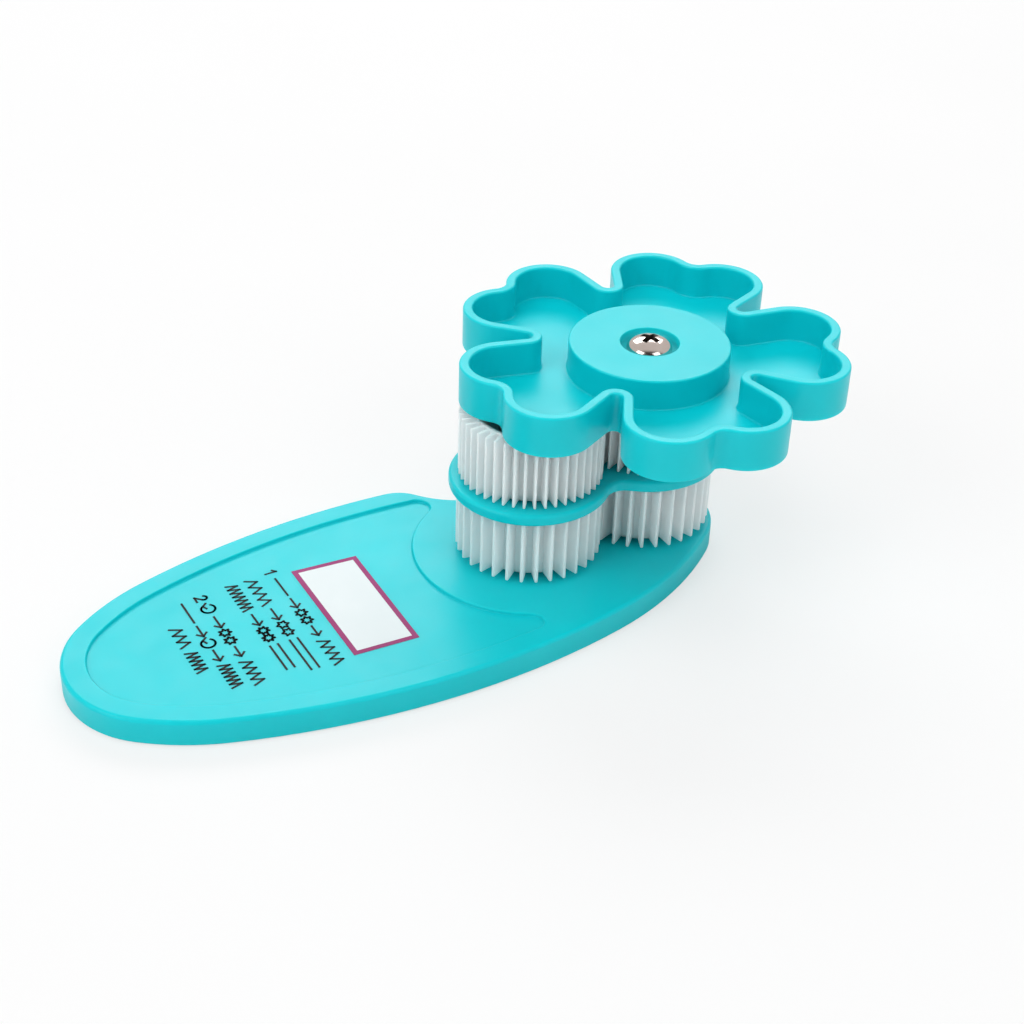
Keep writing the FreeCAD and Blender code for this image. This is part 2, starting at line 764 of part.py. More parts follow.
def flower_knob():
    body = drive_body("flower_knob")
    half_wall = size("petal_wall") / 2
    outline = sketch(body, "outline", flower_outline(half_wall), lift="sizes.knob_bottom")
    pad(body, "flower", outline, "sizes.knob_height")
    inside = sketch(body, "inside_outline", flower_outline(-half_wall), lift="sizes.knob_top")
    pocket(body, "inside", inside, "sizes.knob_height - sizes.knob_floor")
    bevel_edges(body, "crest_bevel", "sizes.petal_crest_bevel", level(size("knob_top")))
    hub = circle_sketch(body, "hub_outline", "2 * sizes.hub_radius", lift="sizes.knob_floor_top")
    pad(body, "hub", hub, "sizes.hub_top - sizes.knob_floor_top")
    bevel_edges(body, "hub_bevel", "sizes.hub_edge_bevel", level(size("hub_top")))
    boss = circle_sketch(body, "boss_outline", "2 * sizes.hub_boss_radius", lift="sizes.fine_top")
    pad(body, "boss", boss, "sizes.knob_floor_top - sizes.fine_top")
    core = sketch(body, "core_outline", core_sector(), lift="sizes.knob_bottom")
    cut = pocket(body, "core", core, "sizes.hub_top - sizes.hub_skin - sizes.knob_bottom", up=True)
    doc.recompute()
    ring_pattern(body, "cores", cut, core, str(PETALS))
    hex_hole(body, "hex_socket", "sizes.shaft_top - sizes.fine_top", up=True, lift="sizes.fine_top")
    passage = circle_sketch(body, "screw_hole_outline", "sizes.knob_screw_diameter + 2 * sizes.screw_clearance")
    pocket(body, "screw_hole", passage)
    bore = circle_sketch(body, "counterbore_outline", "2 * sizes.counterbore_radius", lift="sizes.hub_top")
    pocket(body, "counterbore", bore, "sizes.hub_top - sizes.counterbore_floor")


def core_sector():
    """Hollow under the hub between two of its radial ribs."""
    outer = size("hub_core_outer")
    inner = size("hub_boss_radius")
    half = size("hub_rib") / 2
    middle = size("petal_angle")
    lean_out = PETAL_STEP / 2 - math.degrees(math.asin(half / outer))
    lean_in = PETAL_STEP / 2 - math.degrees(math.asin(half / inner))
    return [
        arc((0, 0), outer, middle - lean_out, middle + lean_out),
        line(polar(outer, middle + lean_out), polar(inner, middle + lean_in)),
        arc((0, 0), inner, middle - lean_in, middle + lean_in),
        line(polar(inner, middle - lean_in), polar(outer, middle - lean_out)),
    ]


# Direction of one tooth of each idler roller; a driven roller mirrors it half a pitch on, so that both
# pairs are in mesh at rest

COARSE_PHASE = -124.96
FINE_PHASE = -116.75


base_moulding()
foot_pads()
idler_axle()
separator_plate()
idler_sleeve()
idler_washer()
screw("idler_screw", idler_body, "sizes.idler_stack_top + sizes.idler_washer_thickness", "idler",
      size("idler_washer_thickness") + size("axle_end_gap") + size("axle_hole_depth") - size("screw_end_room"))
thrust_washer("idler_thrust_washer", idler_body, "sizes.axle_diameter")
thrust_washer("drive_thrust_washer", drive_body, "sizes.journal_diameter + 2 * sizes.washer_clearance")
idler_roller("lower_idler_roller", "sizes.coarse_bottom", "coarse", COARSE_PHASE)
upper_idler_roller()
drive_bush()
drive_shaft()
drive_clip()
drive_roller("lower_drive_roller", "sizes.coarse_bottom", "coarse", COARSE_PHASE)
drive_roller("upper_drive_roller", "sizes.fine_bottom", "fine", FINE_PHASE)
flower_knob()
screw("knob_screw", drive_body, "sizes.counterbore_floor", "knob",
      size("knob_web") + size("shaft_hole_depth") - size("screw_end_room"))
doc.recompute()

faults = []
for item in doc.Objects:
    if "Invalid" in item.State or "Error" in item.State:
        faults.append(item.Name + " " + " ".join(item.State))

bodies = [item for item in doc.Objects if item.TypeId == "PartDesign::Body"]
for body in bodies:
    if body.Shape.isNull() or not body.Shape.isValid() or len(body.Shape.Solids) != 1:
        faults.append(body.Label + " shape")
if faults:
    raise RuntimeError("faulty objects: " + ", ".join(faults))

os.makedirs("parts", exist_ok=True)
for body in bodies:
    body.Shape.exportStep(os.path.join("parts", body.Label + ".step"))
print(len(bodies), "sub-parts written")
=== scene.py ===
import math

import bmesh
import bpy
from mathutils import Matrix, Vector


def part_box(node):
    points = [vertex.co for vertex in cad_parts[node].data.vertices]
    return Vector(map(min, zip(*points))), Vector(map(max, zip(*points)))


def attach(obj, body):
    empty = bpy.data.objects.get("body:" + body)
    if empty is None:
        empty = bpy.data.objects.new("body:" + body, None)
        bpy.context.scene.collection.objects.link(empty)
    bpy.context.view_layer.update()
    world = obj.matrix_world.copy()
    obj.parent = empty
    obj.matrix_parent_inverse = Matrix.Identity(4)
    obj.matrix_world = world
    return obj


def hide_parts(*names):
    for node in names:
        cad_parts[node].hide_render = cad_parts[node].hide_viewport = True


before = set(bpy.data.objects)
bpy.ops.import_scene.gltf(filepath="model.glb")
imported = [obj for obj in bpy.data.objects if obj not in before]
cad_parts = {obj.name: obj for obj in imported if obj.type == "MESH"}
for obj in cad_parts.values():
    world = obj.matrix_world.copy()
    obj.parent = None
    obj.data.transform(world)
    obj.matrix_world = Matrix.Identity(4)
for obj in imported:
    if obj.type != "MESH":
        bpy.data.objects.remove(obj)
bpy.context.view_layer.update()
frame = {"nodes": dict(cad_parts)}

# The looks of the paper crimper.  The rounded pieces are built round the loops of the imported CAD
# nodes, in metres, and sizes written here are in millimetres times MM.

MM = 0.001
WELD = 0.0005 * MM  # points nearer than this are one point
LEVEL = 0.005 * MM  # heights nearer than this are one height
SHARP_ANGLE = math.radians(35)
SQUARE = ((-1, -1), (1, -1), (1, 1), (-1, 1))  # corners, anticlockwise


# Mesh helpers

def welded(node):
    """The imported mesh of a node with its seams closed."""
    bm = bmesh.new()
    bm.from_mesh(frame["nodes"][node].data)
    bmesh.ops.remove_doubles(bm, verts=bm.verts, dist=WELD)
    return bm


def at_height(item, height):
    return all(abs(v.co.z - height) < LEVEL for v in item.verts)


def face_heights(bm):
    """Heights of the level faces, lowest first."""
    found = []
    for face in sorted(bm.faces, key=lambda f: f.verts[0].co.z):
        height = face.verts[0].co.z
        if at_height(face, height) and (not found or height - found[-1] > LEVEL):
            found.append(height)
    return found


def node_heights(node):
    """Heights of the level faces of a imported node, lowest first."""
    bm = welded(node)
    found = face_heights(bm)
    bm.free()
    return found


def level_loops(bm, height):
    """Closed loops round the level faces at one height as lists of points, the widest first."""
    beside = {}
    for edge in bm.edges:
        if at_height(edge, height) and sum(at_height(f, height) for f in edge.link_faces) == 1:
            a, b = edge.verts
            beside.setdefault(a, []).append(b)
            beside.setdefault(b, []).append(a)
    loops = []
    while beside:
        here = next(iter(beside))
        loop = []
        while here is not None:
            loop.append(here.co.to_2d())
            ahead = [v for v in beside.pop(here) if v in beside]
            here = ahead[0] if ahead else None
        loops.append(anticlockwise(loop))
    return sorted(loops, key=signed_area, reverse=True)


def signed_area(points):
    return sum(points[i - 1].cross(points[i]) for i in range(len(points))) / 2


def anticlockwise(points):
    return points if signed_area(points) > 0 else points[::-1]


def outward(points):
    """Normals of an anticlockwise loop, lengthened so that an offset keeps the edges parallel."""
    least_cosine = 0.5
    normals = []
    for i, here in enumerate(points):
        before = (here - points[i - 1]).normalized()
        after = (points[(i + 1) % len(points)] - here).normalized()
        mean = (before + after).normalized()
        normals.append(Vector((mean.y, -mean.x)) / max(mean.dot(after), least_cosine))
    return normals


def raised(point, height):
    return Vector((point.x, point.y, height))


def circle(centre, radius, count=96):
    turns = [2 * math.pi * k / count for k in range(count)]
    return [centre + radius * Vector((math.cos(t), math.sin(t))) for t in turns]


def round_rows(out, height, radius, first, last, steps):
    """Rows on an arc in the (offset, height) plane from first to last degrees."""
    rows = []
    for k in range(steps + 1):
        turn = math.radians(first + (last - first) * k / steps)
        rows.append((out + radius * math.cos(turn), height + radius * math.sin(turn)))
    return rows


def skin(bm, loop, rows):
    """Bands of faces that follow a loop through rows of (offset outward, height)."""
    normals = outward(loop)
    below = None
    for out, height in rows:
        ring = [bm.verts.new(raised(p + n * out, height)) for p, n in zip(loop, normals)]
        if below:
            for i in range(len(ring)):
                bm.faces.new((below[i - 1], below[i], ring[i], ring[i - 1]))
        below = ring


def prism(bm, low, high):
    """Solid between two rings of points, the lower one first."""
    low, high = ([bm.verts.new(p) for p in ring] for ring in (low, high))
    bm.faces.new(low[::-1])
    bm.faces.new(high)
    for i in range(len(low)):
        bm.faces.new((low[i - 1], low[i], high[i], high[i - 1]))


def close_level(bm, height):
    """Fills what is still open at one height."""
    bmesh.ops.remove_doubles(bm, verts=bm.verts, dist=WELD)
    edges = [e for e in bm.edges if len(e.link_faces) < 2 and at_height(e, height)]
    bmesh.ops.triangle_fill(bm, use_beauty=True, edges=edges)


def rounded_side(bm, loop, out, bottom, top, radius, steps):
    """Upright side with both edges rounded; the levels below and above are closed."""
    skin(bm, loop, round_rows(out - radius, bottom + radius, radius, -90, 0, steps)
         + round_rows(out - radius, top - radius, radius, 0, 90, steps))
    close_level(bm, bottom)
    close_level(bm, top)


def remove_faces(bm, unwanted):
    faces = [f for f in bm.faces if unwanted(f)]
    bmesh.ops.delete(bm, geom=faces, context="FACES")


def reach(face, centre):
    return max((v.co.to_2d() - centre).length for v in face.verts)


def new_object(name, bm):
    """Object in the scene from a mesh that is given up."""
    mesh = bpy.data.meshes.new(name)
    bm.to_mesh(mesh)
    bm.free()
    made = bpy.data.objects.new(name, mesh)
    bpy.context.scene.collection.objects.link(made)
    return made


def smooth(made):
    made.data.shade_smooth()
    made.data.set_sharp_from_angle(angle=SHARP_ANGLE)
    weighted = made.modifiers.new("weighted_normals", "WEIGHTED_NORMAL")
    weighted.keep_sharp = True
    weighted.weight = 100


def piece(name, bm, body, replaced=()):
    """Turns a closed mesh into a piece that rides on a body and stands for CAD nodes."""
    bmesh.ops.remove_doubles(bm, verts=bm.verts, dist=WELD)
    bmesh.ops.recalc_face_normals(bm, faces=bm.faces)
    made = new_object(name, bm)
    smooth(made)
    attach(made, body)
    if replaced:
        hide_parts(*replaced)
    return made


# Places

def middle(node):
    low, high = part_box(node)
    return (low + high) / 2


IDLER = middle("idler_sleeve").to_2d()
DRIVE = middle("drive_bush").to_2d()
BASE_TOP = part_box("base_moulding")[1].z
BASE_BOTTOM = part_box("base_moulding")[0].z
PANEL_UNDERSIDE, PANEL_FLOOR = node_heights("base_moulding")[-3:-1]


# Rollers

COARSE_TOOTH = (0.26 * MM, 0.46 * MM)  # radius of a tooth's tip, half its width at the root
FINE_TOOTH = (0.20 * MM, 0.30 * MM)

ROLLERS = (
    ("lower_idler_roller", "coarse_idler_roller", "lower_idler", IDLER, COARSE_TOOTH),
    ("upper_idler_roller", "fine_idler_roller", "upper_idler", IDLER, FINE_TOOTH),
    ("lower_drive_roller", "coarse_driven_roller", "knob_drive", DRIVE, COARSE_TOOTH),
    ("upper_drive_roller", "fine_driven_roller", "knob_drive", DRIVE, FINE_TOOTH),
)


def tooth_directions(loop, centre):
    """Directions of the teeth, each from the two corners of its land."""
    tip = max((p - centre).length for p in loop)
    widest_land = 0.5 * MM
    found = []
    for i, here in enumerate(loop):
        before = loop[i - 1]
        on_tip = min((p - centre).length for p in (before, here)) > tip - LEVEL
        if on_tip and (here - before).length < widest_land:
            found.append(((here + before) / 2 - centre).normalized())
    return found


def tooth_profile(root, tip, tip_round, root_half, steps=6):
    """Points (along, across) of a tooth with straight flanks that run into a round tip."""
    seat = tip - tip_round
    run = math.hypot(seat - root, root_half)
    lean = math.atan2(root_half, seat - root) + math.asin(tip_round / run)
    flank_end = math.pi / 2 - lean
    half = [(root, root_half)]
    for k in range(steps + 1):
        turn = flank_end * (1 - k / steps)
        half.append((seat + tip_round * math.cos(turn), tip_round * math.sin(turn)))
    return [(x, -y) for x, y in half[:-1]] + half[::-1]


def crimp_roller(node, name, body, centre, tooth):
    """Roller with full round tooth tips and softened ends; the inside is the CAD one."""
    tip_round, root_half = tooth
    end_round = 0.7 * tip_round
    rim_depth = 0.2 * MM
    bm = welded(node)
    low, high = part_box(node)
    loop = level_loops(bm, low.z)[0]
    tip = max((p - centre).length for p in loop)
    root = min((p - centre).length for p in loop)
    profile = tooth_profile(root, tip, tip_round, root_half)
    outline = []
    for along in tooth_directions(loop, centre):
        across = Vector((-along.y, along.x))
        outline += [centre + along * x + across * y for x, y in profile]
    remove_faces(bm, lambda f: reach(f, centre) > root - rim_depth)
    rounded_side(bm, outline, 0, low.z, high.z, end_round, 3)
    return piece(name, bm, body, (node,))


# Moulded parts

def base_plate():
    """Oval base: rounded rim, sunk panel with softened edges; the underside is the CAD one."""
    edge = 0.6 * MM
    panel_edge = 0.22 * MM
    bore_reach = 4.7 * MM
    bm = welded("base_moulding")
    outline = level_loops(bm, BASE_BOTTOM)[0]
    panel = level_loops(bm, PANEL_FLOOR)[0]

    def formed_again(face):
        if max(v.co.z for v in face.verts) < PANEL_UNDERSIDE + LEVEL:
            return False
        past_bores = min(reach(face, IDLER), reach(face, DRIVE)) > bore_reach
        return past_bores or at_height(face, BASE_TOP)

    remove_faces(bm, formed_again)
    skin(bm, outline, [(0, BASE_BOTTOM)] + round_rows(-edge, BASE_TOP - edge, edge, 0, 90, 7))
    skin(bm, panel, round_rows(panel_edge, BASE_TOP - panel_edge, panel_edge, 90, 180, 4)
         + round_rows(-panel_edge, PANEL_FLOOR + panel_edge, panel_edge, 0, -90, 4))
    close_level(bm, PANEL_FLOOR)
    close_level(bm, BASE_TOP)
    return piece("base_plate", bm, "base", ("base_moulding",))


def lead_plate():
    """Plate between the roller pairs with a rounded rim."""
    hole_reach = 5 * MM
    rim_share = 0.3
    bm = welded("separator_plate")
    heights = face_heights(bm)
    bottom, top = heights[0], heights[-1]
    outline = level_loops(bm, bottom)[0]
    overhang = min(p.y for p in outline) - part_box("separator_plate")[0].y
    remove_faces(bm, lambda f: at_height(f, bottom) or at_height(f, top)
                 or min(reach(f, IDLER), reach(f, DRIVE)) > hole_reach)
    rounded_side(bm, outline, overhang, bottom, top, rim_share * (top - bottom), 7)
    return piece("lead_plate", bm, "base", ("separator_plate",))


def petal_knob():
    """Flower knob: rounded crests, filleted petal floors and hub; the underside is the CAD one."""
    wall = 1.5 * MM
    foot_round = 0.2 * MM
    crest_round = 0.32 * MM
    floor_fillet = 0.3 * MM
    hub_fillet = 0.3 * MM
    hub_round = 0.28 * MM
    bore_round = 0.18 * MM
    core_reach = 10.6 * MM
    bore_reach = 4.5 * MM
    bm = welded("flower_knob")
    _, bottom, floor_level, _, _, bore_floor, hub_top, crest = face_heights(bm)
    outline = level_loops(bm, bottom)[0]
    hub = level_loops(bm, floor_level)[1]
    bore = level_loops(bm, bore_floor)[0]

    def formed_again(face):
        if at_height(face, bottom) or reach(face, DRIVE) > core_reach:
            return True
        high = max(v.co.z for v in face.verts)
        return high > bore_floor + LEVEL and reach(face, DRIVE) < bore_reach

    remove_faces(bm, formed_again)
    skin(bm, outline, round_rows(-foot_round, bottom + foot_round, foot_round, -90, 0, 3)
         + round_rows(-crest_round, crest - crest_round, crest_round, 0, 90, 6)
         + round_rows(crest_round - wall, crest - crest_round, crest_round, 90, 180, 6)
         + round_rows(-wall - floor_fillet, floor_level + floor_fillet, floor_fillet, 0, -90, 6))
    skin(bm, hub, round_rows(hub_fillet, floor_level + hub_fillet, hub_fillet, 270, 180, 5)
         + round_rows(-hub_round, hub_top - hub_round, hub_round, 0, 90, 5))
    skin(bm, bore, round_rows(bore_round, hub_top - bore_round, bore_round, 90, 180, 4)
         + [(0, bore_floor)])
    for height in (bottom, floor_level, hub_top):
        close_level(bm, height)
    return piece("petal_knob", bm, "knob_drive", ("flower_knob",))


# Screws; lengths on a head are shares of its radius unless something else is said

BELT_SHARE = 0.2  # of the head's height, below the dome
FOOT_ROUND = 0.06
DOME_END = 88.5  # degrees
DOME_STEPS = 14
RECESS_LEVEL = 0.1  # how far below the crown a wing of the cross has its stated size
RECESS_DEPTH = 0.42  # from that level down to the floor of the recess
WING_WIDTH = 0.26
WING_TAPER = 0.45  # share of a wing's size that is left at the floor
RECESS_REACH = 0.75  # share of a wing's length that takes the dark metal of painted shade in the recess
RECESS_SKIN = 0.02  # how far below the dome a face counts as sunk


def recess_wing(centre, level, depth, long, wide, turn):
    """Closed bar for one pair of wings of a cross recess; it narrows below a level and widens above."""
    spin = Matrix.Rotation(turn, 2)
    rings = [[raised(centre + spin @ Vector((x * long / 2 * share, y * wide / 2 * share)), height)
              for x, y in SQUARE]
             for height, share in ((level - depth, WING_TAPER), (level + depth, 2 - WING_TAPER))]
    bm = bmesh.new()
    prism(bm, *rings)
    bmesh.ops.recalc_face_normals(bm, faces=bm.faces)
    return bm


def carve(made, bm):
    """Cuts a closed mesh out of a piece and keeps the result."""
    tool = new_object("cutter", bm)
    cut = made.modifiers.new("cut", "BOOLEAN")
    cut.object = tool
    cut.solver = "EXACT"
    evaluated = made.evaluated_get(bpy.context.evaluated_depsgraph_get())
    done = bpy.data.meshes.new_from_object(evaluated)
    made.modifiers.clear()
    made.data = done
    bpy.data.objects.remove(tool)


def domed_screw(node, name, body, turn, span_share, materials):
    """Screw with an elliptic dome and a tapered cross recess, whose faces take the second material, a dark
    metal that is painted shade.
    """
    low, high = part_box(node)
    centre = ((low + high) / 2).to_2d()
    bm = welded(node)
    seat = [h for h in face_heights(bm) if h > low.z + LEVEL][0]
    shank = min((p - centre).length for p in level_loops(bm, low.z)[0])
    bm.free()
    head = (high.x - low.x) / 2
    belt = seat + BELT_SHARE * (high.z - seat)
    rise = high.z - belt
    foot = FOOT_ROUND * head
    rows = [(shank - head, low.z), (shank - head, seat), (-foot, seat), (0, seat + foot)]
    for k in range(DOME_STEPS + 1):
        climb = math.radians(DOME_END * k / DOME_STEPS)
        rows.append((head * (math.cos(climb) - 1), belt + rise * math.sin(climb)))
    bm = bmesh.new()
    skin(bm, circle(centre, head), rows)
    close_level(bm, low.z)
    close_level(bm, rows[-1][1])
    made = piece(name, bm, body, (node,))
    made.modifiers.clear()
    for k in range(2):
        carve(made, recess_wing(centre, high.z - RECESS_LEVEL * head, RECESS_DEPTH * head,
                                span_share * head, WING_WIDTH * head, turn + k * math.pi / 2))
    made.data.materials.clear()
    for material in materials:
        made.data.materials.append(material)
    # Faces sunk in the cross recess take the dark second material: painted shade inside the recess.
    for face in made.data.polygons:
        out = min((face.center.to_2d() - centre).length / head, 1.0)
        dome = belt + rise * math.sqrt(1 - out ** 2)
        sunk = out < RECESS_REACH * span_share and face.center.z < dome - RECESS_SKIN * head
        face.material_index = 1 if sunk and face.center.z > seat else 0
    smooth(made)


# Print on the base: a blank label and numbered signs without words

PRINT_THICKNESS = 0.03 * MM
LABEL_BORDER = 0.8 * MM
LABEL_CORNERS = ((-34.6, 10.5), (-34.9, -12.0), (-24.9, -12.5), (-24.3, 9.8))  # from the idler axle
SIGNS_MIDDLE = (-46.5, -0.3)
STROKE_WIDTH = 0.32 * MM
STROKE_STEP = 0.01 * PRINT_THICKNESS  # each stroke is this much thicker than the one before it


def plate_of(bm, outline, bottom, top):
    """Thin closed plate over a flat outline."""
    prism(bm, *([raised(p, height) for p in outline] for height in (bottom, top)))


def label():
    """Blank label and its border, lying on the panel."""
    outer = [IDLER + Vector(corner) * MM for corner in LABEL_CORNERS]
    inner = [p - n * LABEL_BORDER for p, n in zip(outer, outward(outer))]
    border_top = PANEL_FLOOR + PRINT_THICKNESS
    bm = bmesh.new()
    plate_of(bm, outer, PANEL_FLOOR, border_top)
    border = piece("label_border", bm, "base")
    bm = bmesh.new()
    plate_of(bm, inner, border_top, border_top + 0.5 * PRINT_THICKNESS)
    return border, piece("label_face", bm, "base")


def stroke(bm, points, top):
    """Ribbon of print along a line of (along, up) points in millimetres of the printed block."""
    block = IDLER + Vector(SIGNS_MIDDLE) * MM
    places = [block + Vector((up, -along)) * MM for along, up in points]
    for first, last in zip(places, places[1:]):
        along = (last - first).normalized() * (STROKE_WIDTH / 2)
        side = Vector((-along.y, along.x))
        corners = [first - along - side, last + along - side, last + along + side, first - along + side]
        plate_of(bm, corners, PANEL_FLOOR, top)


# Each sign is a list of lines round the height of its row; lengths are in millimetres.

def zigzag(up, start, end, pitch):
    half = 0.8
    count = 2 * round((end - start) / pitch)
    return [[(start + k * (end - start) / count, up + (half if k % 2 else -half))
             for k in range(count + 1)]]


def line(up, start, end):
    return [[(start, up), (end, up)]]


def double_line(up, start, end):
    return line(up + 0.6, start, end) + line(up - 0.6, start, end)


def arrow(up, start, end):
    barb = 0.7
    return line(up, start, end) + [[(end - barb, up + barb), (end, up), (end - barb, up - barb)]]


def curl(up, along, radius, first, last, count):
    turns = [math.radians(first + (last - first) * k / count) for k in range(count + 1)]
    return [(along + radius * math.cos(t), up + radius * math.sin(t)) for t in turns]


def cog(up, along, teeth):
    """Small toothed ring."""
    turns = [math.pi * k / teeth for k in range(2 * teeth + 1)]
    radii = [0.85 if k % 2 else 0.55 for k in range(len(turns))]
    return [[(along + r * math.cos(t), up + r * math.sin(t)) for r, t in zip(radii, turns)]]


def turning(up, along):
    """Open ring with an arrow tip, for a turn of the knob."""
    ring = curl(up, along, 1.0, 140, -150, 28)
    tip = ring[-1]
    return [ring, [(tip[0] - 0.5, tip[1] + 0.6), tip, (tip[0] + 0.7, tip[1] + 0.3)]]


def numeral_one(up, along):
    return [[(along - 0.5, up + 0.4), (along, up + 0.85), (along, up - 0.85)]]


def numeral_two(up, along):
    bow = curl(up + 0.38, along, 0.47, 165, -35, 10)
    return [bow + [(along - 0.52, up - 0.85), (along + 0.58, up - 0.85)]]


# Strip through the cogs, wide and narrow crimp, then the turn of the knob that drives them
SIGN_ROWS = (
    (9.1, ((numeral_one, -11.9), (line, -10.2, -5.6), (arrow, -4.6, -2.2), (cog, -0.8, 7), (cog, 1.2, 7),
           (arrow, 2.8, 5.2), (zigzag, 6.4, 12.4, 1.4))),
    (5.6, ((zigzag, -11.6, -4.8, 1.7), (arrow, -3.6, -0.8), (cog, 0.6, 6), (cog, 2.5, 6),
           (double_line, 4.4, 11.8))),
    (2.6, ((zigzag, -11.6, -4.8, 0.95), (arrow, -3.6, -0.8), (cog, 0.6, 8), (cog, 2.5, 8),
           (double_line, 4.4, 10.2))),
    (-2.4, ((numeral_two, -10.6), (turning, -7.8), (arrow, -5.6, -2.8), (cog, -1.4, 7), (cog, 0.6, 7),
            (arrow, 2.2, 4.6), (zigzag, 5.8, 11.4, 1.4))),
    (-5.4, ((line, -10.6, -5.6), (arrow, -4.6, -2.0), (turning, -0.2), (arrow, 1.6, 4.2),
            (zigzag, 5.2, 10.6, 0.95))),
    (-8.4, ((zigzag, -5.6, -0.8, 1.4), (zigzag, 0.6, 5.4, 0.95))),
)


def printed_signs():
    """Numbered signs without words in the place of printed directions."""
    lines = [points for up, signs in SIGN_ROWS for draw, *where in signs for points in draw(up, *where)]
    bm = bmesh.new()
    for number, points in enumerate(lines):
        stroke(bm, points, PANEL_FLOOR + PRINT_THICKNESS + STROKE_STEP * number)
    bmesh.ops.recalc_face_normals(bm, faces=bm.faces)
    made = new_object("printed_signs", bm)
    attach(made, "base")
    return made


# Materials

NOISE_RANGE = (0.3, 0.7)  # where nearly all values of a noise texture lie


def new_material(name):
    material = bpy.data.materials.new(name)
    material.use_nodes = True
    nodes = material.node_tree.nodes
    shader = [n for n in nodes if n.type == "BSDF_PRINCIPLED"][0]
    return material, nodes, material.node_tree.links, shader


def noise(nodes, links, place, scale, detail):
    texture = nodes.new("ShaderNodeTexNoise")
    texture.inputs["Scale"].default_value = scale
    texture.inputs["Detail"].default_value = detail
    links.new(place.outputs["Object"], texture.inputs["Vector"])
    return texture.outputs["Fac"]


def ramp(nodes, links, source, low, high, span=NOISE_RANGE):
    """Blend between two colours over a span of the source's values."""
    blend = nodes.new("ShaderNodeValToRGB")
    for element, position, colour in zip(blend.color_ramp.elements, span, (low, high)):
        element.position = position
        element.color = (*colour, 1)
    links.new(source, blend.inputs["Fac"])
    return blend.outputs["Color"]


def map_range(nodes, links, source, low, high):
    node = nodes.new("ShaderNodeMapRange")
    node.inputs["From Min"].default_value, node.inputs["From Max"].default_value = NOISE_RANGE
    node.inputs["To Min"].default_value = low
    node.inputs["To Max"].default_value = high
    links.new(source, node.inputs["Value"])
    return node.outputs["Result"]


def clouded(name, low, high, roughness, cloud_scale, gloss_scale):
    """Material with a cloudy colour and an uneven gloss, and what its relief is made with."""
    material, nodes, links, shader = new_material(name)
    place = nodes.new("ShaderNodeTexCoord")
    cloud = noise(nodes, links, place, cloud_scale, detail=3.0)
    links.new(ramp(nodes, links, cloud, low, high), shader.inputs["Base Color"])
    gloss = noise(nodes, links, place, gloss_scale, detail=4.0)
    links.new(map_range(nodes, links, gloss, *roughness), shader.inputs["Roughness"])
    return material, nodes, links, shader, place


def relief(nodes, links, shader, height, strength, distance):
    bump = nodes.new("ShaderNodeBump")
    bump.inputs["Strength"].default_value = strength
    bump.inputs["Distance"].default_value = distance
    links.new(height, bump.inputs["Height"])
    links.new(bump.outputs["Normal"], shader.inputs["Normal"])


def moulded(name, low, high, roughness, grain, subsurface=0.0, depth=1.0 * MM, specular=0.5,
            tint=(1.0, 1.0, 1.0)):
    """Moulded plastic: cloudy colour, uneven gloss and a fine satin grain."""
    material, nodes, links, shader, place = clouded(name, low, high, roughness, cloud_scale=70.0,
                                                     gloss_scale=240.0)
    fine = noise(nodes, links, place, scale=2600.0, detail=3.0)
    relief(nodes, links, shader, fine, grain, 0.02 * MM)
    shader.inputs["Subsurface Weight"].default_value = subsurface
    shader.inputs["Subsurface Radius"].default_value = tint
    shader.inputs["Subsurface Scale"].default_value = depth
    shader.inputs["IOR"].default_value = 1.5
    shader.inputs["Specular IOR Level"].default_value = specular
    return material


def metal(name, low, high, roughness, turned):
    """Plated or turned metal with fine rings from the tool and uneven polish."""
    material, nodes, links, shader, place = clouded(name, low, high, roughness, cloud_scale=300.0,
                                                     gloss_scale=1800.0)
    rings = nodes.new("ShaderNodeTexWave")
    rings.bands_direction = "Z"
    rings.inputs["Scale"].default_value = 1500.0
    rings.inputs["Distortion"].default_value = 1.5
    links.new(place.outputs["Object"], rings.inputs["Vector"])
    relief(nodes, links, shader, rings.outputs["Fac"], turned, 0.01 * MM)
    shader.inputs["Metallic"].default_value = 1.0
    return material


def paint(material, *objects):
    for item in objects:
        item.data.materials.clear()
        item.data.materials.append(material)


# Camera, lamps and floor; angles are in degrees and azimuth 0 is in front of the object, on -Y

CAMERA_PLACE = (-106.397, -194.457, 161.288)  # millimetres
CAMERA_AZIMUTH, CAMERA_ELEVATION, CAMERA_ROLL = -30.68, 33.586, 1.977
SENSOR_WIDTH = 36.0
FOCAL_LENGTH = 63.67
CLIP_START = 0.01

AMBIENT = (0.32, 0.32, 0.32)
ROOM_BEHIND = (0.66, 0.60, 0.57)
ROOM_IN_FRONT = (0.05, 0.04, 0.04)
ROOM_SPAN = (0.15, 0.5)
FRONT = (-0.51, -0.86, 0)
FLOOR_WHITE = (0.935, 0.935, 0.935)
FLOOR_PAPER = ((0.93, 0.93, 0.93), (0.95, 0.95, 0.95))
FLOOR_GLOW = 0.66  # share of FLOOR_WHITE in what the camera sees of the floor
FLOOR_HALF = 4.0

SOFTBOX_DISTANCE = 0.9
SOFTBOX_AIM = (0, 0, 0.02)
# name, azimuth, elevation, width, height, radiance, seen in reflections
SOFTBOXES = (
    ("back_softbox", 150, 38, 0.8, 0.35, 4.2, True),
    ("top_softbox", -50, 82, 0.7, 0.7, 2.15, False),
    ("left_softbox", -85, 36, 0.5, 0.5, 3.1, True),
    ("right_softbox", 12, 38, 0.45, 0.5, 2.0, True),
)


def toward(azimuth, elevation):
    """Unit direction from the object."""
    a, e = math.radians(azimuth), math.radians(elevation)
    return Vector((math.sin(a) * math.cos(e), -math.cos(a) * math.cos(e), math.sin(e)))


